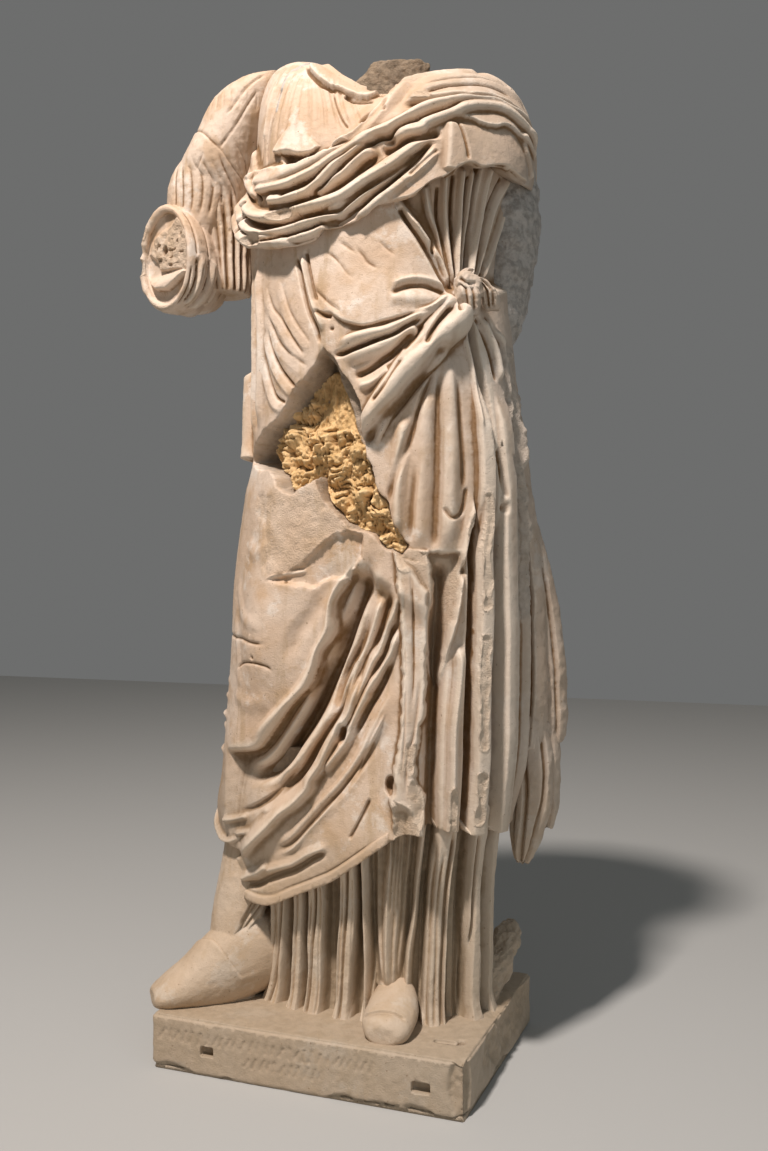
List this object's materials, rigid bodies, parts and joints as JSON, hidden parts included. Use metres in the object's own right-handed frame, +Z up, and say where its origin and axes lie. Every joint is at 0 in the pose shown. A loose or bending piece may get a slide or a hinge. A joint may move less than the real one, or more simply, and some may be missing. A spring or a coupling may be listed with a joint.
{
  "type": "headless draped statue",
  "caption": "Over-life-size headless standing figure in a long pleated gown and mantle, carved in one with a low rectangular base, its neck left as an open socket.",
  "frame": {"origin": "middle of the underside of the low base", "axes": "+Z up, the figure faces -Y, +X is towards the figure's left"},
  "size_m": [0.7904, 0.4604, 1.8498],
  "materials": {
    "marble": "weathered cream marble, warm ochre patina in the folds, grey on the broken faces",
    "mortar": "coarse ochre lime mortar, unworked"
  },
  "bodies": {
    "root": {"statue": "marble", "repair_mortar": "mortar"}
  },
  "joints": []
}
